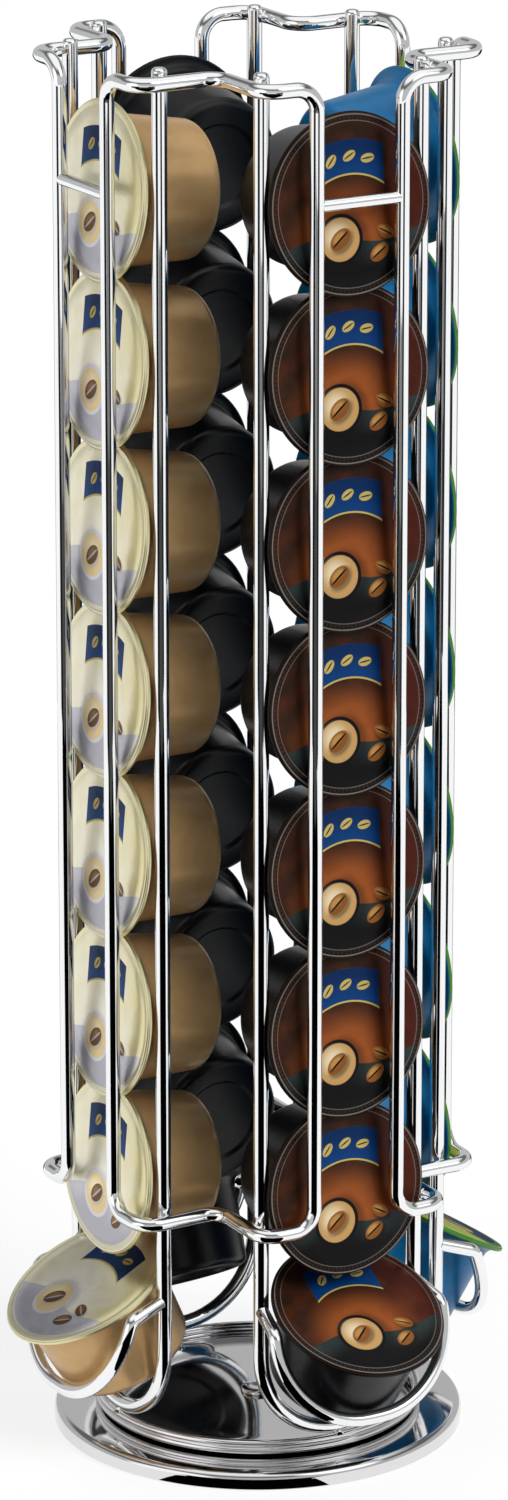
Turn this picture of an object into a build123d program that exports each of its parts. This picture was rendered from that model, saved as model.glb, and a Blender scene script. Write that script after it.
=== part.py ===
from build123d import *
import os
from math import cos, radians, sin, sqrt

os.makedirs("parts", exist_ok=True)

# A free-standing wire tower on a turntable. Four upright columns hold stacked coffee capsules on their sides,
# lids outwards, and the lowest capsule of each column leans out of a cradle, ready to be taken.
# Z is up, the tower's axis is X = Y = 0, and the table is at Z = 0. The front column faces -Y.

# Columns, by the direction that each one faces
column_angles = {"front": -90, "left": 180, "back": 90, "right": 0}
# Retaining frames stand between two columns
frame_angles = {"front_left": -135, "front_right": -45, "back_right": 45, "back_left": 135}

# Capsule: a sealed plastic cup with a wide flange, and a printed lid on the flange
flange_radius = 23.0
flange_thickness = 1.0
shoulder_radius = 19.6
end_radius = 17.6
capsule_depth = 25.2
end_round = 2.4
flange_root_round = 3.0
flange_edge_round = 0.3
end_dimple_radius = 11.0
end_dimple_depth = 0.8
lid_inset = 0.3
lid_thickness = 0.4
lid_edge_round = 0.35
capsules_per_stack = 7

# Wires
post_wire_radius = 2.0
frame_wire_radius = 1.9
cradle_wire_radius = 1.8
crossbar_radius = 1.6
# Left between wires that are welded side by side or end to side
weld_gap = 0.05

# Base: a pressed steel cover over a weight plate, on a non-slip pad
base_radius = 54.0
base_height = 4.8
base_sheet = 1.0
base_edge_round = 2.0
base_inner_round = 1.0
skirt_clearance = 0.4
pad_thickness = 1.5
pad_inset = 3.0
weight_thickness = 2.0
weight_inset = 1.5
plate_gap = 0.05

# Turntable: a dish with a double beaded rim, on a glide washer and a riveted pivot
dish_rim_radius = 42.0
bead_radius = 1.0
bead_pitch = 1.95
bead_web = 1.3
dish_floor_thickness = 0.9
glide_washer_thickness = 0.5
glide_gap = 0.1
glide_washer_inner = 6.0
glide_washer_outer = 34.0
pivot_radius = 3.0
pivot_running_gap = 0.05
pivot_head_radius = 4.4
pivot_head_height = 1.1
pivot_head_round = 0.7
pivot_head_gap = 0.15

# Where the capsules stand in a column
stack_lid_radial = 45.7
stack_tilt = 5.0
stack_seat_gap = 0.35

# Posts: one long hairpin of wire to each column, behind the flanges and beside the cups
post_side_gap = 1.2
post_flange_gap = 1.2
hairpin_bend_share = 1.0
post_end_above_rail = 3.4
post_end_round = 1.2

# Retaining frames: closed loops whose legs stand in front of the lids
leg_offset = 12.2
leg_flange_gap = 0.3
top_rail_height = 366.0
bottom_rail_height = 70.3
leg_bend_radius = 6.0
rail_bend_radius = 5.5
rail_bump_spread = 16.0
rail_slant_angle = 43.7

# Cross bar of each column, between the legs and in front of the topmost lid
crossbar_below_rail = 29.4

# Cradle: a wire arm from each post and a loop under the leaning capsule
cradle_arm_height = 47.5
cradle_corner_radial = 51.8
cradle_corner_height = 44.2
cradle_half_width = 24.8
cradle_corner_bend = 3.0
cradle_loop_bend = 23.0
cradle_loop_depth = 25.7
cradle_lean = 18.0

# Leaning capsule in the outlet
outlet_elevation = 61.5
outlet_seat_depth = 20.3
outlet_seat_gap = 0.35


def on_column(shape, name):
    """Turns a shape made for a column that faces +X to the named column."""
    return Rot(0, 0, column_angles[name]) * shape


def on_frame(shape, name):
    """Turns a shape made for a frame that faces +X to the named frame."""
    return Rot(0, 0, frame_angles[name]) * shape


def rod(path, radius):
    """A round wire along a path of straight runs and tangent arcs."""
    section = Plane(origin=path @ 0, z_dir=path % 0) * Circle(radius)
    return sweep(section, path=path)


def save(shape, name, label_color):
    """Writes one piece, or one group of like pieces, as its own file."""
    shape.label = name
    shape.color = Color(label_color)
    export_step(shape, f"parts/{name}.step")


def cup_radius(depth):
    """The cup wall's radius at a depth behind the flange's front face."""
    taper = (shoulder_radius - end_radius) / capsule_depth
    return shoulder_radius - taper * depth


lid_radius = flange_radius - lid_inset

# Derived places of the posts, in a column's radial and sideways directions
post_offset = shoulder_radius + post_side_gap + post_wire_radius
post_radial = stack_lid_radial - lid_thickness - flange_thickness - post_flange_gap - post_wire_radius
flange_swing = flange_radius * sin(radians(stack_tilt))
leg_radial = stack_lid_radial + flange_swing + leg_flange_gap + frame_wire_radius

# The same places in a frame's outward and sideways directions, an eighth of a turn round
post_reach = (post_radial + post_offset) / sqrt(2)
post_spread = (post_radial - post_offset) / sqrt(2)
leg_reach = (leg_radial + leg_offset) / sqrt(2)
leg_spread = (leg_radial - leg_offset) / sqrt(2)

# The rails' slanted runs pass the posts on the outer side, touching them
rail_pass = post_wire_radius + frame_wire_radius + weld_gap
slant_sin = sin(radians(rail_slant_angle))
slant_cos = cos(radians(rail_slant_angle))
notch_reach = post_reach + (rail_pass - slant_cos * post_spread) / slant_sin
bump_reach = post_reach + (rail_pass + slant_cos * (rail_bump_spread - post_spread)) / slant_sin

# Heights of the base and the turntable
shell_underside = base_height - base_sheet
weight_bottom = pad_thickness + plate_gap
weight_top = weight_bottom + weight_thickness
dish_underside = base_height + glide_washer_thickness + glide_gap
dish_floor_top = dish_underside + dish_floor_thickness
lower_bead_height = dish_underside + bead_radius
upper_bead_height = lower_bead_height + bead_pitch
bead_to_post = post_wire_radius + bead_radius + weld_gap
hairpin_bottom = upper_bead_height + sqrt(bead_to_post**2 - (dish_rim_radius - post_radial) ** 2)
hairpin_bend = post_offset * hairpin_bend_share

# The cradle's loop leans outwards as it goes down
lean_sin = sin(radians(cradle_lean))
lean_cos = cos(radians(cradle_lean))
cradle_bottom_radial = cradle_corner_radial + cradle_loop_depth * lean_sin
cradle_bottom_height = cradle_corner_height - cradle_loop_depth * lean_cos

# The leaning capsule's side bears on the bottom of the cradle's loop
outlet_stand_off = cup_radius(outlet_seat_depth) + cradle_wire_radius + outlet_seat_gap
outlet_axis_cos = cos(radians(outlet_elevation))
outlet_axis_sin = sin(radians(outlet_elevation))
outlet_lid_radial = cradle_bottom_radial - outlet_axis_sin * outlet_stand_off + outlet_axis_cos * outlet_seat_depth
outlet_lid_height = cradle_bottom_height + outlet_axis_cos * outlet_stand_off + outlet_axis_sin * outlet_seat_depth
outlet_flange_radial = outlet_lid_radial - lid_thickness * outlet_axis_cos
outlet_flange_height = outlet_lid_height - lid_thickness * outlet_axis_sin
outlet_rim_radial = outlet_flange_radial - outlet_axis_sin * flange_radius
outlet_rim_height = outlet_flange_height + outlet_axis_cos * flange_radius

# The lowest stacked capsule rests its cup on the leaning capsule's flange, and each next cup on the flange below
tilt_sin = sin(radians(stack_tilt))
tilt_cos = cos(radians(stack_tilt))
seat_depth = (stack_lid_radial - outlet_rim_radial) / tilt_cos
stack_bottom = outlet_rim_height + seat_depth * tilt_sin + cup_radius(seat_depth) / tilt_cos + stack_seat_gap
stack_pitch = flange_radius + cup_radius(flange_thickness) + stack_seat_gap


# Capsule pieces, made with the lid's side towards +Z and the flange's front face at Z = 0
def capsule_cup():
    wall = [
        (0, 0),
        (flange_radius, 0),
        (flange_radius, -flange_thickness),
        (shoulder_radius, -flange_thickness),
        (end_radius, -capsule_depth),
        (end_dimple_radius, -capsule_depth),
        (end_dimple_radius, -capsule_depth + end_dimple_depth),
        (0, -capsule_depth + end_dimple_depth),
    ]
    profile = make_face(Polyline(*wall, close=True))
    rounded = profile.vertices().sort_by(lambda v: (v.X - end_radius) ** 2 + (v.Y + capsule_depth) ** 2)[0]
    profile = fillet(rounded, end_round)
    root = profile.vertices().sort_by(lambda v: (v.X - shoulder_radius) ** 2 + (v.Y + flange_thickness) ** 2)[0]
    profile = fillet(root, flange_root_round)
    flange_edge = [v for v in profile.vertices() if v.X > flange_radius - lid_inset]
    profile = fillet(flange_edge, flange_edge_round)
    return revolve(Plane.XZ * profile, Axis.Z)


def capsule_lid():
    disc = Pos(0, 0, lid_thickness / 2) * Cylinder(lid_radius, lid_thickness)
    front_edge = disc.faces().sort_by(Axis.Z)[-1].edges()
    return fillet(front_edge, lid_edge_round)


def facing(shape, elevation, radial, height):
    """Lays a capsule piece on its side, lid outwards and raised by the elevation, at a place in the +X column."""
    return Pos(radial, 0, height) * Rot(0, 90 - elevation, 0) * shape


cup = capsule_cup()
lid = capsule_lid()
stack_heights = [stack_bottom + stack_pitch * n for n in range(capsules_per_stack)]
stack_flange_radial = stack_lid_radial - lid_thickness * tilt_cos
stack_flange_drop = lid_thickness * tilt_sin

cup_colors = {"front": "black", "left": "goldenrod", "back": "gray20", "right": "steelblue"}
lid_colors = {"front": "sienna", "left": "cornsilk", "back": "dimgray", "right": "yellowgreen"}

for column in column_angles:
    stacked_cups = [facing(cup, stack_tilt, stack_flange_radial, h - stack_flange_drop) for h in stack_heights]
    stacked_lids = [facing(lid, stack_tilt, stack_flange_radial, h - stack_flange_drop) for h in stack_heights]
    cups = Compound(children=[on_column(c, column) for c in stacked_cups])
    lids = Compound(children=[on_column(c, column) for c in stacked_lids])
    save(cups, f"stacked_capsules_{column}", cup_colors[column])
    save(lids, f"stacked_lids_{column}", lid_colors[column])
    outlet_cup = facing(cup, outlet_elevation, outlet_flange_radial, outlet_flange_height)
    outlet_lid = facing(lid, outlet_elevation, outlet_flange_radial, outlet_flange_height)
    save(on_column(outlet_cup, column), f"outlet_capsule_{column}", cup_colors[column])
    save(on_column(outlet_lid, column), f"outlet_lid_{column}", lid_colors[column])

# Posts: two uprights joined by a half-round bend that is welded on the dish's rim
post_top = top_rail_height + post_end_above_rail
hairpin_centre = hairpin_bottom + hairpin_bend
left_run = Line((post_radial, post_offset, post_top), (post_radial, post_offset, hairpin_centre))
bend_start = (post_radial, post_offset, hairpin_centre)
bend_middle = (post_radial, 0, hairpin_bottom)
bend_end = (post_radial, -post_offset, hairpin_centre)
hairpin_turn = ThreePointArc(bend_start, bend_middle, bend_end)
right_run = Line((post_radial, -post_offset, hairpin_centre), (post_radial, -post_offset, post_top))
hairpin = rod(Wire([left_run, hairpin_turn, right_run]), post_wire_radius)
post_ends = hairpin.faces().sort_by(Axis.Z)[-2:]
hairpin = fillet(post_ends.edges(), post_end_round)
for column in column_angles:
    save(on_column(hairpin, column), f"column_posts_{column}", "silver")

# Retaining frame: upper and lower halves of one loop, butt-welded halfway up the legs
weld_height = (top_rail_height + bottom_rail_height) / 2


def half_loop(rail_height):
    points = [
        (leg_reach, leg_spread, weld_height),
        (leg_reach, leg_spread, rail_height),
        (bump_reach, rail_bump_spread, rail_height),
        (notch_reach, 0, rail_height),
        (bump_reach, -rail_bump_spread, rail_height),
        (leg_reach, -leg_spread, rail_height),
        (leg_reach, -leg_spread, weld_height),
    ]
    bends = [leg_bend_radius, rail_bend_radius, rail_bend_radius, rail_bend_radius, leg_bend_radius]
    return rod(FilletPolyline(*points, radius=bends), frame_wire_radius)


retaining_frame = half_loop(top_rail_height) + half_loop(bottom_rail_height)
for place in frame_angles:
    save(on_frame(retaining_frame, place), f"retaining_frame_{place}", "silver")

# Cross bar with its ends coped to the two legs
crossbar_height = top_rail_height - crossbar_below_rail
crossbar = Pos(leg_radial, 0, crossbar_height) * Rot(90, 0, 0) * Cylinder(crossbar_radius, 2 * leg_offset)
leg_clear = Cylinder(frame_wire_radius + weld_gap, 2 * crossbar_below_rail)
for side in (-1, 1):
    crossbar -= Pos(leg_radial, side * leg_offset, crossbar_height) * leg_clear
for column in column_angles:
    save(on_column(crossbar, column), f"crossbar_{column}", "silver")

# Cradle with its arms coped to the posts
cradle_points = [
    (post_radial, post_offset, cradle_arm_height),
    (cradle_corner_radial, cradle_half_width, cradle_corner_height),
    (cradle_bottom_radial, cradle_half_width, cradle_bottom_height),
    (cradle_bottom_radial, -cradle_half_width, cradle_bottom_height),
    (cradle_corner_radial, -cradle_half_width, cradle_corner_height),
    (post_radial, -post_offset, cradle_arm_height),
]
cradle_bends = [cradle_corner_bend, cradle_loop_bend, cradle_loop_bend, cradle_corner_bend]
cradle = rod(FilletPolyline(*cradle_points, radius=cradle_bends), cradle_wire_radius)
post_clear = Cylinder(post_wire_radius + weld_gap, 2 * cradle_arm_height)
for side in (-1, 1):
    cradle -= Pos(post_radial, side * post_offset, cradle_arm_height) * post_clear
cradle = cradle.solids().sort_by(SortBy.VOLUME)[-1]
for column in column_angles:
    save(on_column(cradle, column), f"outlet_cradle_{column}", "silver")

# Turntable dish: a flat floor inside two stacked beads
bead_low = Pos(dish_rim_radius, lower_bead_height) * Circle(bead_radius)
bead_high = Pos(dish_rim_radius, upper_bead_height) * Circle(bead_radius)
web_middle = (lower_bead_height + upper_bead_height) / 2
web = Pos(dish_rim_radius, web_middle) * Rectangle(bead_web, bead_pitch)
dish_hole = pivot_radius + pivot_running_gap
floor_width = dish_rim_radius - dish_hole
floor_middle = (dish_hole + dish_rim_radius) / 2
floor = Pos(floor_middle, dish_underside + dish_floor_thickness / 2) * Rectangle(floor_width, dish_floor_thickness)
dish = revolve(Plane.XZ * (bead_low + bead_high + web + floor), Axis.Z)
save(dish, "turntable_dish", "lightgray")

# Base cover: an inverted pan with a rolled shoulder
cover_outline = [
    (pivot_radius + plate_gap, base_height),
    (base_radius, base_height),
    (base_radius, skirt_clearance),
    (base_radius - base_sheet, skirt_clearance),
    (base_radius - base_sheet, shell_underside),
    (pivot_radius + plate_gap, shell_underside),
]
cover_profile = make_face(Polyline(*cover_outline, close=True))
outer_corner = cover_profile.vertices().sort_by(lambda v: v.X + v.Y)[-1]
cover_profile = fillet(outer_corner, base_edge_round)
cover_under = [v for v in cover_profile.vertices() if v.X > base_radius / 2]
inner_corner = ShapeList(cover_under).sort_by(
    lambda v: (v.X - base_radius + base_sheet) ** 2 + (v.Y - shell_underside) ** 2
)[0]
cover_profile = fillet(inner_corner, base_inner_round)
base_cover = revolve(Plane.XZ * cover_profile, Axis.Z)
save(base_cover, "base_cover", "gainsboro")

# Weight plate under the cover, and the pad that the whole tower stands on
weight_radius = base_radius - base_sheet - weight_inset
weight_middle = (weight_bottom + weight_top) / 2
weight_disc = Cylinder(weight_radius, weight_thickness) - Cylinder(pivot_radius + plate_gap, base_height)
save(Pos(0, 0, weight_middle) * weight_disc, "base_weight_plate", "dimgray")
pad_radius = base_radius - pad_inset
save(Pos(0, 0, pad_thickness / 2) * Cylinder(pad_radius, pad_thickness), "base_non_slip_pad", "gray10")

# Glide washer that the dish turns on
washer = Cylinder(glide_washer_outer, glide_washer_thickness) - Cylinder(glide_washer_inner, base_height)
save(Pos(0, 0, base_height + glide_washer_thickness / 2) * washer, "turntable_glide_washer", "white")

# Pivot: a rivet held in the weight plate, with a low domed head over the dish's floor
pivot_head_bottom = dish_floor_top + pivot_head_gap
pivot_head_top = pivot_head_bottom + pivot_head_height
pivot_outline = [
    (0, weight_bottom),
    (pivot_radius, weight_bottom),
    (pivot_radius, pivot_head_bottom),
    (pivot_head_radius, pivot_head_bottom),
    (pivot_head_radius, pivot_head_top),
    (0, pivot_head_top),
]
pivot_profile = make_face(Polyline(*pivot_outline, close=True))
head_corner = pivot_profile.vertices().sort_by(lambda v: v.X + v.Y)[-1]
pivot_profile = fillet(head_corner, pivot_head_round)
pivot = revolve(Plane.XZ * pivot_profile, Axis.Z)
save(pivot, "turntable_pivot", "silver")

# Sizes worth knowing when the drawing is read
print("overall height", round(post_top, 1), "base diameter", 2 * base_radius)
print("posts", round(post_radial, 2), round(post_offset, 2), "legs", round(leg_radial, 2), leg_offset)
print("rail notch and bump", round(notch_reach, 2), round(bump_reach, 2))
print("hairpin bottom", round(hairpin_bottom, 2), "dish floor top", round(dish_floor_top, 2))
print("cradle bottom", round(cradle_bottom_radial, 2), round(cradle_bottom_height, 2))
print("outlet lid", round(outlet_lid_radial, 2), round(outlet_lid_height, 2))
print("stack", round(stack_bottom, 2), "pitch", round(stack_pitch, 2), "top", round(stack_heights[-1], 2))
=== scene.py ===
from math import cos, radians, sin, sqrt, tan

import bpy
from mathutils import Matrix, Vector


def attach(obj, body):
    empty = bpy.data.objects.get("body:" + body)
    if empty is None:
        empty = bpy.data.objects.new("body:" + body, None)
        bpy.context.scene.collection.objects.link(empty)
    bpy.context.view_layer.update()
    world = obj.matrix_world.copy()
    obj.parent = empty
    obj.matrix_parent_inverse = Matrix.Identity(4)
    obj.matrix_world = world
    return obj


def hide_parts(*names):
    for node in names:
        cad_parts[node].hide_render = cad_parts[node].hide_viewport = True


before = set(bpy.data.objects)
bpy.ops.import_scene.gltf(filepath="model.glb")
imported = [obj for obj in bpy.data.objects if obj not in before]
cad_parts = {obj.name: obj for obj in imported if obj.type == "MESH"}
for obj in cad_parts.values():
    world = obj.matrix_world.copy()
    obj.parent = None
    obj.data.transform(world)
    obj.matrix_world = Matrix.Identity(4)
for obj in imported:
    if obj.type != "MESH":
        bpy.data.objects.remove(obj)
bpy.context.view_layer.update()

# Rotating coffee capsule tower: chrome wire columns on a polished turntable.
# All sizes are in millimetres, in the construction model's frame, and made metres once.
MM = 0.001

COLUMN_ANGLES = {"front": -90, "left": 180, "back": 90, "right": 0}
FRAME_ANGLES = {"front_left": -135, "front_right": -45, "back_right": 45, "back_left": 135}

# Wires
POST_RADIUS = 2.0
FRAME_RADIUS = 1.9
CRADLE_RADIUS = 1.8
CROSSBAR_RADIUS = 1.6

# Posts, legs and rails, in a column's outward and sideways directions
POST_OUT = 41.1
POST_SIDE = 22.8
POST_TOP = 369.4
POST_BOTTOM = 11.26
LEG_OUT = 49.905
LEG_SIDE = 12.2
TOP_RAIL = 366.0
BOTTOM_RAIL = 70.3
BUMP_SIDE = 16.0
RAIL_SLANT = 43.7
LEG_BEND = 6.0
RAIL_BEND = 5.5
WELD_GAP = 0.05
CROSSBAR_HEIGHT = 336.6
# The posts' ground ends, and how far short of the legs' centre lines a cross bar ends
POST_END_ROUND = 1.2
CROSSBAR_INSET = 1.0
# Degrees to each step of a bend
BEND_STEP = 6.0

# Cradle
CRADLE_START_HEIGHT = 47.5
CRADLE_CORNER_OUT = 51.8
CRADLE_CORNER_HEIGHT = 44.2
CRADLE_SIDE = 24.8
CRADLE_DEPTH = 25.7
CRADLE_LEAN = 18.0
CRADLE_CORNER_BEND = 3.0
CRADLE_LOOP_BEND = 23.0
# How deep an arm's end sinks into the post
ARM_SINK = 0.8

# Capsule
FLANGE_RADIUS = 23.0
FLANGE_THICKNESS = 1.0
SHOULDER_RADIUS = 19.6
END_RADIUS = 17.6
CUP_DEPTH = 25.2
ROOT_ROUND = 3.0
END_ROUND = 2.4
DIMPLE_RADIUS = 11.0
DIMPLE_DEPTH = 0.8
DIMPLE_SLOPE = 0.5
FLANGE_ROUND = 0.3
# Film and cup stand this far apart, so that no two of their faces lie in one
FACE_GAP = 0.02

# Lid film: its wrap round the flange's edge, its pressed seal and its sag towards the centre
LID_RADIUS = 22.7
LID_THICKNESS = 0.4
FILM_WRAP = 0.13
CRIMP_DEPTH = 0.75
CRIMP_ROUND = 0.35
CRIMP_TAPER = 0.02
SEAL_OUTER = 22.0
SEAL_INNER = 20.8
SEAL_SLOPE = 0.15
SEAL_DEPTH = 0.08
FILM_SAG = 0.06
KNURL_TICKS = 110.0
# The lids' map: this many millimetres of film to a unit, with the lid's centre in its middle
LID_MAP_SPAN = 50.0

# Where the capsules lie
STACK_OUT = 45.7
STACK_TILT = 5.0
STACK_BOTTOM = 77.96
STACK_PITCH = 42.87
STACK_COUNT = 7
OUTLET_OUT = 51.73
OUTLET_HEIGHT = 47.21
OUTLET_TILT = 61.5

# Base cover: a pan of pressed sheet with a rolled shoulder, whose skirt ends over the table
BASE_RADIUS = 54.0
BASE_TOP = 4.8
COVER_UNDERSIDE = 3.8
COVER_SHEET = 1.0
COVER_ROUND = 2.0
SKIRT_END = 0.4

# Turntable dish: a web joins its two beads this many degrees above and below their middles
DISH_RIM = 42.0
DISH_UNDERSIDE = 5.4
DISH_FLOOR = 6.3
BEAD_RADIUS = 1.0
LOW_BEAD = 6.4
HIGH_BEAD = 8.35
WEB_ANGLE = 49.5

# Rivet, and the hole for it in the dish and the cover
PIVOT_HOLE = 3.05
RIVET_RADIUS = 3.0
RIVET_FOOT = 1.6
RIVET_HEAD_RADIUS = 4.4
RIVET_HEAD_FOOT = 6.45
RIVET_HEAD_ROUND = 0.7
RIVET_ROUND_START = 6.85


def ready():
    """Leaves edit mode and deselects everything."""
    if bpy.context.object and bpy.context.object.mode != "OBJECT":
        bpy.ops.object.mode_set(mode="OBJECT")
    bpy.ops.object.select_all(action="DESELECT")


def start_ring(name, radius, sides, place, direction):
    """Adds an open ring of wire section or wall, square to a direction, and goes into edit mode."""
    ready()
    turn = direction.to_track_quat("Z", "X").to_euler()
    bpy.ops.mesh.primitive_circle_add(vertices=sides, radius=radius * MM, location=place * MM, rotation=turn)
    piece = bpy.context.object
    piece.name = name
    piece.data.name = name
    bpy.ops.object.transform_apply(location=True, rotation=True, scale=True)
    bpy.ops.object.mode_set(mode="EDIT")
    bpy.ops.mesh.select_all(action="SELECT")
    return piece


def close_and_smooth(piece, angle=35):
    """Merges doubles, closes open ends, points the faces outwards and smooths all but the sharp edges."""
    bpy.ops.mesh.select_all(action="SELECT")
    bpy.ops.mesh.remove_doubles(threshold=0.002 * MM)
    bpy.ops.mesh.select_all(action="DESELECT")
    bpy.ops.mesh.select_non_manifold()
    bpy.ops.mesh.fill_holes(sides=0)
    bpy.ops.mesh.select_all(action="SELECT")
    bpy.ops.mesh.normals_make_consistent(inside=False)
    bpy.ops.object.mode_set(mode="OBJECT")
    bpy.ops.object.shade_smooth_by_angle(angle=radians(angle))
    return piece


def bent_wire(name, points, bends, radius, sides=24):
    """Bends a rod as a wire former does: straight runs are extruded, and each bend is spun."""
    points = [Vector(p) for p in points]
    first = (points[1] - points[0]).normalized()
    piece = start_ring(name, radius, sides, points[0], first)
    here = points[0]
    for corner, bend, after in zip(points[1:-1], bends, points[2:]):
        run_in = (corner - here).normalized()
        run_out = (after - corner).normalized()
        turn = run_in.angle(run_out)
        trim = bend * tan(turn / 2)
        bend_start = corner - run_in * trim
        if (bend_start - here).length > 0.001:
            bpy.ops.mesh.extrude_region_move(TRANSFORM_OT_translate={"value": (bend_start - here) * MM})
        inward = (run_out - run_in * run_in.dot(run_out)).normalized()
        centre = bend_start + inward * bend
        axis = run_out.cross(run_in).normalized()
        steps = max(3, round(turn / radians(BEND_STEP)))
        bpy.ops.mesh.spin(steps=steps, angle=turn, center=centre * MM, axis=axis)
        here = corner + run_out * trim
    bpy.ops.mesh.extrude_region_move(TRANSFORM_OT_translate={"value": (points[-1] - here) * MM})
    return close_and_smooth(piece)


def turned(name, outline, sides=72, angle=35):
    """Turns a part as on a lathe: a ring is extruded from station to station and resized at each."""
    radius, height = outline[0]
    piece = start_ring(name, radius, sides, Vector((0, 0, height)), Vector((0, 0, 1)))
    for next_radius, next_height in outline[1:]:
        rise = (0, 0, (next_height - height) * MM)
        bpy.ops.mesh.extrude_region_move(TRANSFORM_OT_translate={"value": rise})
        ratio = next_radius / radius
        bpy.ops.transform.resize(value=(ratio, ratio, 1), center_override=(0, 0, next_height * MM))
        radius, height = next_radius, next_height
    return close_and_smooth(piece, angle)


def arc(centre_out, centre_up, radius, start, end, steps):
    """Stations of a rounded edge, from one angle to another."""
    angles = [radians(start + (end - start) * n / steps) for n in range(steps + 1)]
    return [(centre_out + radius * cos(a), centre_up + radius * sin(a)) for a in angles]


def soften(piece, width, segments):
    """Rounds the sharp edges with a bevel, as grinding and plating leave them."""
    ready()
    bpy.context.view_layer.objects.active = piece
    piece.select_set(True)
    bevel = piece.modifiers.new("rounded edges", "BEVEL")
    bevel.width = width * MM
    bevel.segments = segments
    bevel.limit_method = "ANGLE"
    bevel.angle_limit = radians(40)
    bpy.ops.object.modifier_apply(modifier=bevel.name)
    bpy.ops.object.shade_smooth_by_angle(angle=radians(35))


def placed(piece, matrix):
    """Puts a finished shape at its place, with the place in its mesh."""
    ready()
    bpy.context.view_layer.objects.active = piece
    piece.select_set(True)
    piece.matrix_world = matrix
    bpy.ops.object.transform_apply(location=True, rotation=True, scale=True)
    return piece


def copy_at(piece, name, matrix):
    """Copies a shape with its own mesh to a place."""
    twin = piece.copy()
    twin.data = piece.data.copy()
    twin.name = name
    twin.data.name = name
    bpy.context.collection.objects.link(twin)
    return placed(twin, matrix)


def joined(pieces, name):
    """Joins like shapes of one node into one piece."""
    ready()
    for piece in pieces:
        piece.select_set(True)
    bpy.context.view_layer.objects.active = pieces[0]
    bpy.ops.object.join()
    whole = bpy.context.object
    whole.name = name
    whole.data.name = name
    return whole


def about_axis(degrees):
    return Matrix.Rotation(radians(degrees), 4, "Z")


def facing(out, up, tilt, degrees):
    """Lays a capsule shape on its side, lid outwards and raised by the tilt, in the column at an angle."""
    lay = Matrix.Rotation(radians(90 - tilt), 4, "Y") @ Matrix.Rotation(radians(90), 4, "Z")
    return about_axis(degrees) @ Matrix.Translation(Vector((out, 0, up)) * MM) @ lay


def remove(piece):
    bpy.data.objects.remove(piece, do_unlink=True)


# Materials

def paint(hex_code):
    """Turns a written sRGB colour to the linear one that the shader reads."""
    parts = [int(hex_code[n:n + 2], 16) / 255 for n in (1, 3, 5)]
    return tuple(c / 12.92 if c <= 0.04045 else ((c + 0.055) / 1.055) ** 2.4 for c in parts) + (1.0,)


def add(material, kind, inputs=None, **settings):
    """Adds a node with its settings, and sets or links its inputs."""
    new = material.node_tree.nodes.new(kind)
    for key, value in settings.items():
        setattr(new, key, value)
    for key, value in (inputs or {}).items():
        if isinstance(value, bpy.types.NodeSocket):
            material.node_tree.links.new(value, new.inputs[key])
        else:
            new.inputs[key].default_value = value
    return new


def finish_named(name, **sockets):
    """Starts a material and sets its shader's own sockets."""
    material = bpy.data.materials.new(name)
    material.use_nodes = True
    shader = material.node_tree.nodes["Principled BSDF"]
    for key, value in sockets.items():
        shader.inputs[key.replace("_", " ")].default_value = value
    return material, shader


def roughened(material, shader, low, high, grain_mm, bump_mm=0.0, tints=None):
    """Varies the gloss, and where given the height and the tint, with grain of a real size."""
    link = material.node_tree.links
    place = add(material, "ShaderNodeTexCoord").outputs["Object"]
    sized = {"Vector": place, "Scale": 1 / (grain_mm * MM), "Detail": 4}
    grain = add(material, "ShaderNodeTexNoise", sized).outputs[0]
    spread = add(material, "ShaderNodeMapRange", {"Value": grain, "To Min": low, "To Max": high})
    link.new(spread.outputs[0], shader.inputs["Roughness"])
    if bump_mm:
        lift = add(material, "ShaderNodeBump", {"Height": grain, "Distance": bump_mm * MM, "Strength": 0.5})
        link.new(lift.outputs[0], shader.inputs["Normal"])
    if tints:
        tones = {"Factor": grain, 6: paint(tints[0]), 7: paint(tints[1])}
        tint = add(material, "ShaderNodeMix", tones, data_type="RGBA")
        link.new(tint.outputs[2], shader.inputs["Base Color"])


def chrome_plate():
    """Bright chrome over nickel on drawn steel wire: a cool mirror with a trace of drawing marks."""
    material, shader = finish_named("bright_chrome_plated_wire", Base_Color=paint("#F4F5F6"), Metallic=1.0)
    roughened(material, shader, 0.015, 0.045, 6.0)
    return material


def polished_steel():
    """Mirror-polished pressed stainless steel: a clear mirror, a little softer than the chrome."""
    steel = paint("#E4E3E4")
    material, shader = finish_named("mirror_polished_pressed_steel", Base_Color=steel, Metallic=1.0)
    roughened(material, shader, 0.04, 0.09, 14.0)
    return material


def moulded_cup(name, tints, low, high, metallic=0.0):
    """Thin-walled injection-moulded polypropylene: a satin skin with faint flow clouds."""
    material, shader = finish_named(name, Metallic=metallic, IOR=1.49, Specular_IOR_Level=0.32)
    roughened(material, shader, low, high, 3.0, 0.02, tints)
    return material


def zinc_plate():
    """Zinc-plated steel plate under the cover: dull grey with a fine spangle."""
    material, shader = finish_named("zinc_plated_weight_steel", Metallic=0.9)
    roughened(material, shader, 0.35, 0.5, 2.5, tints=("#8C8F92", "#A3A6A8"))
    return material


def foam_rubber():
    """Black foam rubber pad: matt, with fine closed cells."""
    material, shader = finish_named("black_foam_rubber", IOR=1.5)
    roughened(material, shader, 0.8, 0.95, 0.8, 0.15, ("#141414", "#222222"))
    return material


def nylon():
    """Natural nylon glide washer: milky white and waxy."""
    material, shader = finish_named("natural_nylon", IOR=1.53, Base_Color=paint("#E4E0D4"))
    roughened(material, shader, 0.35, 0.5, 2.0, 0.02)
    return material


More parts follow.
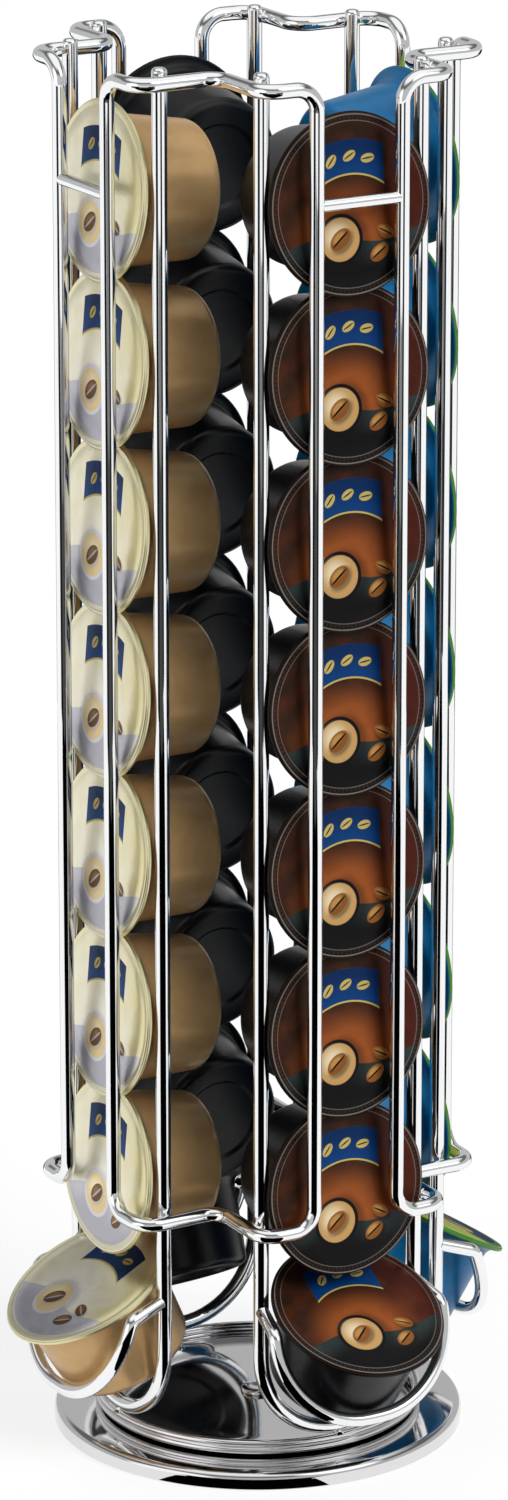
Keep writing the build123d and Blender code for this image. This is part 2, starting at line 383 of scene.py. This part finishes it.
def printed_film(name, foil, field, foot, banner, trim, medal, bean, rim):
    """Aluminium film under inks, with a knurled seal: foil says how much metal shines through them, and
    rim's second colour is painted highlight on the crimp and the seal.
    """
    material, shader = finish_named(name, Metallic=foil, Specular_IOR_Level=0.16)
    uv = add(material, "ShaderNodeTexCoord").outputs["UV"]
    # The lid's map, in millimetres from its centre
    whole, half = LID_MAP_SPAN, LID_MAP_SPAN / 2
    measured = {"Vector": uv, "Location": (-half, -half, 0), "Scale": (whole, whole, 1)}
    flat = add(material, "ShaderNodeMapping", measured).outputs[0]
    split = add(material, "ShaderNodeSeparateXYZ", {"Vector": flat})
    across, up = split.outputs[0], split.outputs[1]
    reach = add(material, "ShaderNodeVectorMath", {0: flat}, operation="LENGTH").outputs["Value"]
    ends = add(material, "ShaderNodeMath", {0: across}, operation="ABSOLUTE").outputs[0]
    link = material.node_tree.links

    def from_spot(x, y, squash=1.0, turn=0.0):
        """Distance from a spot of the print, which an oval measures along its long axis."""
        spot = {"Vector": flat, "Location": (x, y, 0), "Rotation": (0, 0, turn), "Scale": (1, squash, 1)}
        moved = add(material, "ShaderNodeMapping", spot, vector_type="TEXTURE").outputs[0]
        return add(material, "ShaderNodeVectorMath", {0: moved}, operation="LENGTH").outputs["Value"]

    def covered(strength, edges):
        """How much of an ink lies at a place: each edge fades it in from one value to another."""
        cover = strength
        for value, none, full in edges:
            ramp = {"Value": value, "From Min": none, "From Max": full}
            step = add(material, "ShaderNodeMapRange", ramp, interpolation_type="SMOOTHSTEP").outputs[0]
            cover = add(material, "ShaderNodeMath", {0: step, 1: cover}, operation="MULTIPLY").outputs[0]
        return cover

    # Ink's own clouding, 9 mm across, and a wave that parts the foot from the field
    cloud = add(material, "ShaderNodeTexNoise", {"Vector": flat, "Scale": 1 / 9.0, "Detail": 4}).outputs[0]
    wave = add(material, "ShaderNodeMath", {0: across, 1: 0.22}, operation="MULTIPLY").outputs[0]
    swell = add(material, "ShaderNodeMath", {0: wave}, operation="SINE").outputs[0]
    level = add(material, "ShaderNodeMath", {0: swell, 1: 1.3, 2: up}, operation="MULTIPLY_ADD").outputs[0]
    glow, bow = from_spot(-1.0, -7.0, 0.8), from_spot(0, -9.0)
    arch = [(up, 0.0, 0.3), (ends, 9.8, 9.6), (bow, 25.2, 25.0)]
    # Each layer is an ink, its strength and its edges: first the field and the foot, then the arched banner
    layers = [
        (field[1], 1.0, [(glow, 19.0, 4.0)]),
        (field[2], 0.8, [(across, 2.0, 21.0)]),
        (field[3], 0.35, [(cloud, 0.42, 0.68)]),
        (foot[0], 1.0, [(level, -8.2, -8.6)]),
        (foot[1], 1.0, [(level, -8.8, -15.5)]),
        (banner[0], 1.0, arch + [(bow, 16.2, 16.4)]),
        (banner[1], 1.0, arch + [(bow, 16.9, 24.0)]),
        (trim, 1.0, arch + [(bow, 16.2, 16.35), (bow, 16.8, 16.65)]),
    ]
    for x, y, turn in ((-5.2, 11.0, 0.9), (0.0, 12.0, 0.5), (5.2, 11.0, 0.1)):
        layers.append((trim, 1.0, [(from_spot(x, y, 0.6, turn), 2.05, 1.75)]))
        layers.append((banner[1], 1.0, [(from_spot(x, y, 0.12, turn), 2.0, 1.4)]))
    # Round medallion with its soft shadow, for the beans to lie on and beside
    middle = from_spot(-3.4, -8.4)
    layers.append((foot[1], 0.55, [(from_spot(-2.6, -9.3), 9.0, 6.2)]))
    layers.append((medal[0], 1.0, [(middle, 6.55, 6.25)]))
    layers.append((medal[1], 1.0, [(middle, 5.6, 5.3)]))
    layers.append((medal[2], 0.85, [(from_spot(-4.4, -7.4), 5.0, 1.0)]))
    for x, y, size, turn in ((-3.4, -8.4, 3.3, 0.7), (7.6, -12.6, 2.9, 0.6), (9.6, -7.6, 2.5, -0.5)):
        shade, body = from_spot(x + 0.5, y - 0.6, 0.7, turn), from_spot(x, y, 0.66, turn)
        layers.append((foot[1], 0.6, [(shade, size + 1.1, size - 0.5)]))
        layers.append((bean[0], 1.0, [(body, size + 0.2, size - 0.2)]))
        gleam, crack = from_spot(x - 0.5, y + 0.5, 0.5, turn), from_spot(x, y, 0.1, turn)
        layers.append((bean[1], 0.6, [(gleam, size * 0.6 + 0.9, size * 0.6 - 0.9)]))
        layers.append((foot[1], 1.0, [(crack, size * 0.9 + 0.3, size * 0.9 - 0.3)]))
    # Border: its margin, the crimped edge, and the seal's knurled ticks between two fine lines. The pale
    # fine lines and the ticks' pale colour are painted highlight, where the crimp and the seal catch the
    # light.
    spokes = add(material, "ShaderNodeMath", {0: up, 1: across}, operation="ARCTAN2").outputs[0]
    around = add(material, "ShaderNodeMath", {0: spokes, 1: KNURL_TICKS}, operation="MULTIPLY").outputs[0]
    ticks = add(material, "ShaderNodeMath", {0: around}, operation="SINE").outputs[0]
    knurl = [(reach, 20.85, 21.05), (reach, 21.95, 21.75), (ticks, -0.6, 0.7)]
    layers += [
        (rim[0], 0.6, [(reach, 20.4, 20.9)]),
        (rim[0], 1.0, [(reach, 22.35, 22.6)]),
        # rim's second colour: painted highlight on the seal's inner line, its ticks and the crimp
        (rim[1], 0.5, [(reach, 20.5, 20.65), (reach, 20.85, 20.7)]),
        (rim[1], 0.04, knurl),
        (rim[1], 0.6, [(reach, 22.0, 22.15), (reach, 22.5, 22.3)]),
    ]
    colour = paint(field[0])
    for ink, strength, edges in layers:
        inks = {"Factor": covered(strength, edges), 6: colour, 7: paint(ink)}
        colour = add(material, "ShaderNodeMix", inks, data_type="RGBA").outputs[2]
    link.new(colour, shader.inputs["Base Color"])
    # The film puckers a little in folds some 3 mm apart, and the seal's ticks stand up from it
    folds = {"Vector": flat, "Scale": 1 / 3.0, "Detail": 4, "Distortion": 0.4}
    crease = add(material, "ShaderNodeTexNoise", folds).outputs[0]
    relief = {0: covered(0.2, knurl), 1: crease}
    height = add(material, "ShaderNodeMath", relief, operation="ADD").outputs[0]
    lift = add(material, "ShaderNodeBump", {"Height": height, "Distance": 0.16 * MM, "Strength": 0.5})
    link.new(lift.outputs[0], shader.inputs["Normal"])
    gloss = add(material, "ShaderNodeMapRange", {"Value": crease, "To Min": 0.24, "To Max": 0.42})
    link.new(gloss.outputs[0], shader.inputs["Roughness"])
    return material


CHROME = chrome_plate()
STEEL = polished_steel()
ZINC = zinc_plate()
RUBBER = foam_rubber()
NYLON = nylon()
BLACK_CUP = moulded_cup("black_polypropylene", ("#08090B", "#0E0F12"), 0.24, 0.34)
GOLD_CUP = moulded_cup("gold_lacquered_polypropylene", ("#C69F6C", "#D6B17E"), 0.26, 0.36, 0.5)
BLUE_CUP = moulded_cup("blue_polypropylene", ("#0A5A8E", "#1274A8"), 0.28, 0.38)
BROWN_FILM = printed_film(
    "brown_printed_film",
    foil=0.4,
    field=("#2E1D15", "#A85A28", "#4A170D", "#6E3416"),
    foot=("#2C3636", "#0F0D0D"),
    banner=("#0A3D78", "#062A58"),
    trim="#C8B25E",
    medal=("#0D0C12", "#C69C62", "#F0E2BE"),
    bean=("#8A5424", "#D9A860"),
    # rim: border ink, then the pale colour painted as highlight on the crimp and the seal
    rim=("#1A1411", "#9A8E84"),
)
CREAM_FILM = printed_film(
    "cream_printed_film",
    foil=0.9,
    field=("#EFE9CC", "#FAF6EA", "#EADFA6", "#FCF8EC"),
    foot=("#C8C7CD", "#B2B1B9"),
    banner=("#0A3D78", "#062A58"),
    trim="#C8B25E",
    medal=("#D6D5DB", "#E4CC94", "#F8ECCC"),
    bean=("#6A4A28", "#A67E4A"),
    # rim: border ink, then the pale colour painted as highlight on the crimp and the seal
    rim=("#E4DCB0", "#F6F0D0"),
)
GREEN_FILM = printed_film(
    "green_printed_film",
    foil=0.4,
    field=("#A9BE3A", "#C7D25E", "#8FB030", "#DDE08A"),
    foot=("#1D4F6E", "#123650"),
    banner=("#0A3D78", "#062A58"),
    trim="#E0D27A",
    medal=("#16344A", "#C9B86A", "#EFE9B8"),
    bean=("#7A5A2C", "#B99A50"),
    # rim: border ink, then the pale colour painted as highlight on the crimp and the seal
    rim=("#4E8438", "#B4CC5E"),
)


def clad(piece, material, slot, body, *nodes):
    """Gives a piece its finish, the body that it moves with and the nodes that it stands for; its slot is
    not used.
    """
    piece.data.materials.clear()
    piece.data.materials.append(material)
    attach(piece, body)
    if nodes:
        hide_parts(*nodes)
    return piece


# Posts of each column: one hairpin of wire with ground, rounded ends
hairpin = bent_wire(
    "hairpin",
    [
        (POST_OUT, POST_SIDE, POST_TOP),
        (POST_OUT, POST_SIDE, POST_BOTTOM),
        (POST_OUT, -POST_SIDE, POST_BOTTOM),
        (POST_OUT, -POST_SIDE, POST_TOP),
    ],
    [POST_SIDE, POST_SIDE],
    POST_RADIUS,
    sides=32,
)
soften(hairpin, POST_END_ROUND, 4)
for column, degrees in COLUMN_ANGLES.items():
    posts = copy_at(hairpin, "post_wire_" + column, about_axis(degrees))
    clad(posts, CHROME, "chrome_wire", "tower", "column_posts_" + column)
remove(hairpin)

# Retaining frames: one closed loop of wire each
root_two = sqrt(2)
leg_reach, leg_spread = (LEG_OUT + LEG_SIDE) / root_two, (LEG_OUT - LEG_SIDE) / root_two
post_reach, post_spread = (POST_OUT + POST_SIDE) / root_two, (POST_OUT - POST_SIDE) / root_two
rail_pass = POST_RADIUS + FRAME_RADIUS + WELD_GAP
slant_sin, slant_cos = sin(radians(RAIL_SLANT)), cos(radians(RAIL_SLANT))
notch_reach = post_reach + (rail_pass - slant_cos * post_spread) / slant_sin
bump_reach = post_reach + (rail_pass + slant_cos * (BUMP_SIDE - post_spread)) / slant_sin
leg_middle = (TOP_RAIL + BOTTOM_RAIL) / 2
over = [
    (leg_reach, leg_spread),
    (bump_reach, BUMP_SIDE),
    (notch_reach, 0),
    (bump_reach, -BUMP_SIDE),
    (leg_reach, -leg_spread),
]
route = [(leg_reach, leg_spread, leg_middle)]
route += [(out, side, TOP_RAIL) for out, side in over]
route += [(out, side, BOTTOM_RAIL) for out, side in reversed(over)]
route += [(leg_reach, leg_spread, leg_middle)]
half_bends = [LEG_BEND, RAIL_BEND, RAIL_BEND, RAIL_BEND, LEG_BEND]
loop = bent_wire("loop", route, half_bends + half_bends, FRAME_RADIUS, sides=32)
for place, degrees in FRAME_ANGLES.items():
    frame_loop = copy_at(loop, "frame_wire_" + place, about_axis(degrees))
    clad(frame_loop, CHROME, "chrome_wire", "tower", "retaining_frame_" + place)
remove(loop)

# Cross bars: butt-welded between the legs
bar_half = LEG_SIDE - CROSSBAR_INSET
bar_start = Vector((LEG_OUT, -bar_half, CROSSBAR_HEIGHT))
bar = start_ring("bar", CROSSBAR_RADIUS, 24, bar_start, Vector((0, 1, 0)))
bpy.ops.mesh.extrude_region_move(TRANSFORM_OT_translate={"value": Vector((0, 2 * bar_half, 0)) * MM})
close_and_smooth(bar)
for column, degrees in COLUMN_ANGLES.items():
    crossbar = copy_at(bar, "cross_bar_" + column, about_axis(degrees))
    clad(crossbar, CHROME, "chrome_wire", "tower", "crossbar_" + column)
remove(bar)

# Outlet cradles: arms out from the posts and a loop below
cradle_foot_out = CRADLE_CORNER_OUT + CRADLE_DEPTH * sin(radians(CRADLE_LEAN))
cradle_foot_up = CRADLE_CORNER_HEIGHT - CRADLE_DEPTH * cos(radians(CRADLE_LEAN))
arm_start = Vector((POST_OUT, POST_SIDE, CRADLE_START_HEIGHT))
arm_corner = Vector((CRADLE_CORNER_OUT, CRADLE_SIDE, CRADLE_CORNER_HEIGHT))
arm_start += (arm_corner - arm_start).normalized() * (POST_RADIUS - ARM_SINK)
sling = bent_wire(
    "sling",
    [
        arm_start,
        arm_corner,
        (cradle_foot_out, CRADLE_SIDE, cradle_foot_up),
        (cradle_foot_out, -CRADLE_SIDE, cradle_foot_up),
        (arm_corner.x, -arm_corner.y, arm_corner.z),
        (arm_start.x, -arm_start.y, arm_start.z),
    ],
    [CRADLE_CORNER_BEND, CRADLE_LOOP_BEND, CRADLE_LOOP_BEND, CRADLE_CORNER_BEND],
    CRADLE_RADIUS,
    sides=32,
)
for column, degrees in COLUMN_ANGLES.items():
    cradle = copy_at(sling, "cradle_wire_" + column, about_axis(degrees))
    clad(cradle, CHROME, "chrome_wire", "tower", "outlet_cradle_" + column)
remove(sling)

# Resistance welds where two wires cross: a waisted fillet whose flared ends sink into both wires.
# Each of its stations is a radius and a height from the contact.
waist = [(1.75, -0.85), (1.55, -0.5), (1.25, -0.22), (1.15, 0.0), (1.25, 0.22), (1.55, 0.5), (1.75, 0.85)]
nugget = turned("nugget", waist, sides=24, angle=60)
crossings = []
for degrees in FRAME_ANGLES.values():
    for side in (-1, 1):
        for rail in (TOP_RAIL, BOTTOM_RAIL):
            # A rail's slanted run leans on the post's outer side
            lean = Vector((slant_sin, side * -slant_cos, 0))
            crossings.append((degrees, Vector((post_reach, side * post_spread, rail)), lean))
for degrees in COLUMN_ANGLES.values():
    onto_bead = Vector((DISH_RIM - POST_OUT, 0, HIGH_BEAD - POST_BOTTOM)).normalized()
    crossings.append((degrees, Vector((POST_OUT, 0, POST_BOTTOM)), onto_bead))
welds = []
for degrees, wire, lean in crossings:
    contact = Matrix.Translation((wire + lean * (POST_RADIUS + WELD_GAP / 2)) * MM)
    square_to_it = lean.to_track_quat("Z", "X").to_matrix().to_4x4()
    welds.append(copy_at(nugget, "weld_copy", about_axis(degrees) @ contact @ square_to_it))
clad(joined(welds, "weld_nuggets"), CHROME, "chrome_wire", "tower")
remove(nugget)

# Turntable dish with two rolled beads: out along its underside, round the beads and back along its floor
outline = [(PIVOT_HOLE, DISH_UNDERSIDE), (20.0, DISH_UNDERSIDE), (40.8, DISH_UNDERSIDE)]
outline += arc(DISH_RIM, LOW_BEAD, BEAD_RADIUS, -90, WEB_ANGLE, 9)
outline += arc(DISH_RIM, HIGH_BEAD, BEAD_RADIUS, -WEB_ANGLE, 180 + WEB_ANGLE, 16)
outline += arc(DISH_RIM, LOW_BEAD, BEAD_RADIUS, 180 - WEB_ANGLE, 176, 3)
outline += [(40.6, DISH_FLOOR), (30.0, DISH_FLOOR), (15.0, DISH_FLOOR)]
outline += [(PIVOT_HOLE, DISH_FLOOR), (PIVOT_HOLE, DISH_UNDERSIDE)]
dish = turned("dish_pressing", outline, sides=144)
clad(dish, STEEL, "dish_steel", "tower", "turntable_dish")

# Base cover with a rolled shoulder: out along its underside, round the skirt and back over its top
round_out, round_up = BASE_RADIUS - COVER_ROUND, BASE_TOP - COVER_ROUND
outline = [(PIVOT_HOLE, COVER_UNDERSIDE), (51.5, COVER_UNDERSIDE)]
outline += arc(round_out, round_up, COVER_ROUND - COVER_SHEET, 90, 0, 4)
outline += [(BASE_RADIUS - COVER_SHEET, SKIRT_END), (BASE_RADIUS, SKIRT_END), (BASE_RADIUS, 1.2)]
outline += arc(round_out, round_up, COVER_ROUND, 0, 90, 8)
outline += [(45.0, BASE_TOP), (20.0, BASE_TOP), (PIVOT_HOLE, BASE_TOP), (PIVOT_HOLE, COVER_UNDERSIDE)]
cover = turned("base_pressing", outline, sides=160)
clad(cover, STEEL, "base_steel", "base", "base_cover")

# Rivet with its head over the dish floor, and a shallow set mark in the head
outline = [(RIVET_RADIUS, RIVET_FOOT), (RIVET_RADIUS, RIVET_HEAD_FOOT), (RIVET_HEAD_RADIUS, RIVET_HEAD_FOOT)]
outline += arc(RIVET_HEAD_RADIUS - RIVET_HEAD_ROUND, RIVET_ROUND_START, RIVET_HEAD_ROUND, 0, 80, 5)
outline += [(2.4, 7.57), (1.6, 7.5), (0.9, 7.35), (0.4, 7.3)]
rivet = turned("pivot_rivet", outline, sides=48)
clad(rivet, STEEL, "pivot_steel", "base", "turntable_pivot")

# Cup of the capsule: flange, flared root, tapered wall and dimpled end
taper = (SHOULDER_RADIUS - END_RADIUS) / CUP_DEPTH
root_depth = FLANGE_THICKNESS + ROOT_ROUND
root_wall = SHOULDER_RADIUS - taper * root_depth
bare_flange = FLANGE_RADIUS - FILM_WRAP
flange_edge = bare_flange - FLANGE_ROUND
outline = [(12.0, -FACE_GAP), (21.6, -FACE_GAP)] + arc(flange_edge, -FLANGE_ROUND, FLANGE_ROUND, 90, 0, 3)
outline += arc(flange_edge, FLANGE_ROUND - FLANGE_THICKNESS, FLANGE_ROUND, 0, -90, 3)
outline += arc(root_wall + ROOT_ROUND, -root_depth, ROOT_ROUND, 90, 180, 7)
outline += [(SHOULDER_RADIUS - taper * d, -d) for d in (8.0, 12.0, 16.0, 20.0)]
end_wall = SHOULDER_RADIUS - taper * (CUP_DEPTH - END_ROUND)
outline += arc(end_wall - END_ROUND, END_ROUND - CUP_DEPTH, END_ROUND, 0, -90, 6)
outline += [(DIMPLE_RADIUS + DIMPLE_SLOPE, -CUP_DEPTH), (DIMPLE_RADIUS, DIMPLE_DEPTH / 2 - CUP_DEPTH)]
outline += [(DIMPLE_RADIUS - DIMPLE_SLOPE, DIMPLE_DEPTH - CUP_DEPTH), (5.0, DIMPLE_DEPTH - CUP_DEPTH)]
cup = turned("cup", outline, sides=80)

# Lid film: drawn in a little at its middle, pressed in along its seal, and crimped over the flange's edge
outline = [(6.0, 0.0), (18.0, 0.0)] + arc(flange_edge, -FLANGE_ROUND, FLANGE_ROUND + FACE_GAP, 90, 0, 3)
outline += [(bare_flange + FACE_GAP, -CRIMP_DEPTH), (FLANGE_RADIUS - CRIMP_TAPER, -CRIMP_DEPTH)]
outline += arc(LID_RADIUS, -FLANGE_ROUND, FLANGE_ROUND, 0, 75, 4)
outline += arc(LID_RADIUS - CRIMP_ROUND, LID_THICKNESS - CRIMP_ROUND, CRIMP_ROUND, 0, 90, 4)
seal_floor = LID_THICKNESS - SEAL_DEPTH
outline += [(SEAL_OUTER, LID_THICKNESS), (SEAL_OUTER - SEAL_SLOPE, seal_floor)]
outline += [(SEAL_INNER + SEAL_SLOPE, seal_floor), (SEAL_INNER, LID_THICKNESS)]
shares = (0.85, 0.65, 0.45, 0.25, 0.1)
outline += [(SEAL_INNER * share, LID_THICKNESS - FILM_SAG * (1 - share)) for share in shares]
film = turned("film", outline, sides=80)
chart = film.data.uv_layers[0]
span = LID_MAP_SPAN * MM
for loop_corner in film.data.loops:
    spot = film.data.vertices[loop_corner.vertex_index].co
    chart.data[loop_corner.index].uv = (spot.x / span + 0.5, spot.y / span + 0.5)

CUP_FINISH = {
    "front": (BLACK_CUP, "cup_black"),
    "left": (GOLD_CUP, "cup_gold"),
    "back": (BLACK_CUP, "cup_black"),
    "right": (BLUE_CUP, "cup_blue"),
}
FILM_FINISH = {
    "front": (BROWN_FILM, "lid_brown"),
    "left": (CREAM_FILM, "lid_cream"),
    "back": (BROWN_FILM, "lid_brown"),
    "right": (GREEN_FILM, "lid_green"),
}
drop = LID_THICKNESS * sin(radians(STACK_TILT))
back = LID_THICKNESS * cos(radians(STACK_TILT))
outlet_drop = LID_THICKNESS * sin(radians(OUTLET_TILT))
outlet_back = LID_THICKNESS * cos(radians(OUTLET_TILT))
for column, degrees in COLUMN_ANGLES.items():
    heights = [STACK_BOTTOM + STACK_PITCH * n - drop for n in range(STACK_COUNT)]
    seats = [facing(STACK_OUT - back, up, STACK_TILT, degrees) for up in heights]
    cups = joined([copy_at(cup, "cup_copy", seat) for seat in seats], "cup_stack_" + column)
    clad(cups, *CUP_FINISH[column], "stack_" + column, "stacked_capsules_" + column)
    films = joined([copy_at(film, "film_copy", seat) for seat in seats], "lid_stack_" + column)
    clad(films, *FILM_FINISH[column], "stack_" + column, "stacked_lids_" + column)
    outlet = facing(OUTLET_OUT - outlet_back, OUTLET_HEIGHT - outlet_drop, OUTLET_TILT, degrees)
    leaning_cup = copy_at(cup, "cup_outlet_" + column, outlet)
    clad(leaning_cup, *CUP_FINISH[column], "outlet_" + column, "outlet_capsule_" + column)
    leaning_lid = copy_at(film, "lid_outlet_" + column, outlet)
    clad(leaning_lid, *FILM_FINISH[column], "outlet_" + column, "outlet_lid_" + column)
remove(cup)
remove(film)

# Construction pieces that stay as they are get their finishes
KEPT_FINISH = {"base_weight_plate": ZINC, "base_non_slip_pad": RUBBER, "turntable_glide_washer": NYLON}
for node, material in KEPT_FINISH.items():
    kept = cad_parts[node]
    kept.data.materials.clear()
    kept.data.materials.append(material)

# Floor: white to the eye and in the chrome, and grey in the light that it returns.
# This share of its white is even, and the rest takes the tower's shadow.
FLOOR_GLOW = 0.78
ready()
bpy.ops.mesh.primitive_plane_add(size=9.0, location=(0, 0, 0))
floor = bpy.context.object
floor.name = "floor"
floor_finish, paper = finish_named("white_paper_sweep", Roughness=0.9, Base_Color=paint("#FFFFFF"))
seen_by = add(floor_finish, "ShaderNodeLightPath").outputs
rays = {0: seen_by["Is Camera Ray"], 1: seen_by["Is Glossy Ray"]}
seen = add(floor_finish, "ShaderNodeMath", rays, operation="MAXIMUM").outputs[0]
rays = {0: seen, 1: seen_by["Is Transmission Ray"]}
seen = add(floor_finish, "ShaderNodeMath", rays, operation="MAXIMUM").outputs[0]
returned = add(floor_finish, "ShaderNodeBsdfDiffuse", {"Color": paint("#A2A2A2")}).outputs[0]
glow = add(floor_finish, "ShaderNodeEmission", {"Color": paint("#FFFFFF"), "Strength": 1.0}).outputs[0]
white = {"Fac": FLOOR_GLOW, 1: paper.outputs[0], 2: glow}
sight = add(floor_finish, "ShaderNodeMixShader", white).outputs[0]
both = add(floor_finish, "ShaderNodeMixShader", {"Fac": seen, 1: returned, 2: sight}).outputs[0]
surface = floor_finish.node_tree.nodes["Material Output"].inputs["Surface"]
floor_finish.node_tree.links.new(both, surface)
floor.data.materials.append(floor_finish)

# A soft key high on the front right, a broad light low on the left and a weak one from behind: each has its
# elevation and azimuth in degrees, its strength, and how many degrees it spreads over
LAMPS = {
    "soft_key": (42, -66, 2.6, 36),
    "low_left_light": (6, -170, 2.3, 46),
    "back_fill": (24, 66, 0.9, 60),
}
# Reflections show two of them as soft-edged boxes, little brighter than paper, so that no foil burns out.
# A box is gone beyond the first share of its lamp's spread, and full within the second.
GLOSS_BOXES = {"soft_key": 1.4, "low_left_light": 1.2}
BOX_EDGES = (0.75, 0.4)

# Soft studio: white to the eye, and dim in the light that it gives. The chrome sees walls, grey low down
# and dark above, under a white ceiling. Heights are 0 at the horizon and 1 overhead.
GIVEN_LIGHT = {"From Min": 0.2, "From Max": 0.9, "To Min": 0.42, "To Max": 0.22}
SEEN_WALLS = {"From Min": 0.42, "From Max": 0.52, "To Min": 0.52, "To Max": 0.14}
SEEN_CEILING = {"From Min": 0.66, "From Max": 0.84}
world = bpy.data.worlds.new("studio")
bpy.context.scene.world = world
world.use_nodes = True
background = world.node_tree.nodes["Background"]
background.inputs["Color"].default_value = paint("#FFFFFF")
direction = add(world, "ShaderNodeTexCoord").outputs["Generated"]
height = add(world, "ShaderNodeSeparateXYZ", {"Vector": direction}).outputs[2]
given = add(world, "ShaderNodeMapRange", {"Value": height, **GIVEN_LIGHT}).outputs[0]
walls = add(world, "ShaderNodeMapRange", {"Value": height, **SEEN_WALLS}).outputs[0]
ceiling = add(world, "ShaderNodeMapRange", {"Value": height, **SEEN_CEILING}).outputs[0]
room = add(world, "ShaderNodeMix", {"Factor": ceiling, 2: walls, 3: 1.0}).outputs[0]
for name, shine in GLOSS_BOXES.items():
    elevation, azimuth, _, spread = LAMPS[name]
    turn, rise = radians(azimuth), radians(elevation)
    towards = (cos(rise) * cos(turn), cos(rise) * sin(turn), sin(rise))
    compared = {0: direction, 1: towards}
    near = add(world, "ShaderNodeVectorMath", compared, operation="DOT_PRODUCT").outputs["Value"]
    outer, inner = [cos(radians(spread * share)) for share in BOX_EDGES]
    edge = {"Value": near, "From Min": outer, "From Max": inner, "To Max": shine}
    box = add(world, "ShaderNodeMapRange", edge, interpolation_type="SMOOTHSTEP").outputs[0]
    room = add(world, "ShaderNodeMath", {0: room, 1: box}, operation="MAXIMUM").outputs[0]
seen_by = add(world, "ShaderNodeLightPath").outputs
rays = {0: seen_by["Is Glossy Ray"], 1: seen_by["Is Transmission Ray"]}
mirrored = add(world, "ShaderNodeMath", rays, operation="MAXIMUM").outputs[0]
around = add(world, "ShaderNodeMix", {"Factor": mirrored, 2: given, 3: room}).outputs[0]
studio = add(world, "ShaderNodeMix", {"Factor": seen_by["Is Camera Ray"], 2: around, 3: 1.0}).outputs[0]
world.node_tree.links.new(studio, background.inputs["Strength"])

for name, (elevation, azimuth, energy, spread) in LAMPS.items():
    bpy.ops.object.light_add(type="SUN", rotation=(radians(90 - elevation), 0, radians(azimuth + 90)))
    lamp = bpy.context.object
    lamp.name = name
    lamp.data.energy = energy
    lamp.data.angle = radians(spread)
    lamp.visible_glossy = False

# Matt cards flat on the table that only reflections see, as a studio blacks the middle of bright wire
VIEW_AZIMUTH = -120.07
CARD_HEIGHT = 0.5


def card(name, azimuth, stations, shade):
    """Draws a card outwards from the tower: each station is a distance, a left and a right edge in mm."""
    (distance, left, right), *others = stations
    ready()
    bpy.ops.mesh.primitive_plane_add(size=1.0, location=(0, 0, 0))
    sheet = bpy.context.object
    sheet.name = name
    bpy.ops.object.mode_set(mode="EDIT")
    bpy.ops.mesh.delete(type="ONLY_FACE")
    bpy.ops.mesh.select_all(action="SELECT")
    # The plane's outline is drawn together into one edge, the card's near end, and that end is extruded
    bpy.ops.transform.resize(value=(0, (right - left) * MM, 1))
    bpy.ops.transform.translate(value=(distance * MM, (left + right) / 2 * MM, CARD_HEIGHT * MM))
    bpy.ops.mesh.remove_doubles(threshold=0.01 * MM)
    for next_distance, next_left, next_right in others:
        shift = ((next_left + next_right) - (left + right)) / 2
        advance = ((next_distance - distance) * MM, shift * MM, 0)
        bpy.ops.mesh.extrude_region_move(TRANSFORM_OT_translate={"value": advance})
        stretch = (next_right - next_left) / (right - left)
        middle = (next_distance * MM, (next_left + next_right) / 2 * MM, CARD_HEIGHT * MM)
        bpy.ops.transform.resize(value=(1, stretch, 1), center_override=middle)
        distance, left, right = next_distance, next_left, next_right
    bpy.ops.object.mode_set(mode="OBJECT")
    placed(sheet, about_axis(azimuth))
    sheet.visible_camera = False
    sheet.visible_diffuse = False
    sheet.visible_shadow = False
    card_finish, shader = finish_named(name, Roughness=1.0, Specular_IOR_Level=0.0, Base_Color=paint(shade))
    sheet.data.materials.append(card_finish)


FLAG = [
    (40, -25, 18),
    (62, -27, 19),
    (135, -96, 90),
    (248, -208, 196),
    (390, -350, 332),
    (480, -430, 370),
    (640, -470, 300),
]
for side, azimuth in (("front", VIEW_AZIMUTH), ("back", VIEW_AZIMUTH + 180)):
    card(side + "_black_flag", azimuth, FLAG, "#020202")
    card(side + "_dark_card", azimuth, [(640, -340, 240), (1050, -420, 300)], "#454545")
    card(side + "_grey_card", azimuth, [(1050, -420, 300), (1500, -480, 340)], "#7C7C7C")
    card(side + "_left_line", azimuth - 37, [(700, -200, 200), (2600, -700, 700)], "#181818")
    card(side + "_right_line", azimuth + 25, [(700, -150, 150), (2600, -540, 540)], "#202020")

# Camera as fitted to the photograph: its place and aim in millimetres, and its focal length in the
# photograph's pixels, of which the frame is 1500 high
CAMERA_OUT = 1628.7
CAMERA_UP = 666.6
CAMERA_AIM = (-0.85, 0.49, 183.6)
FOCAL_PIXELS = 6583.7
FRAME_PIXELS = 1500
SENSOR = 36.0
ready()
azimuth = radians(VIEW_AZIMUTH)
eye = Vector((CAMERA_OUT * cos(azimuth), CAMERA_OUT * sin(azimuth), CAMERA_UP)) * MM
aim = Vector(CAMERA_AIM) * MM
bpy.ops.object.camera_add(location=eye, rotation=(aim - eye).to_track_quat("-Z", "Y").to_euler())
camera = bpy.context.object
camera.name = "photo_camera"
camera.data.sensor_width = SENSOR
camera.data.lens = FOCAL_PIXELS / FRAME_PIXELS * SENSOR
camera.data.clip_start = 0.05
bpy.context.scene.camera = camera
bpy.context.scene.view_settings.view_transform = "Standard"
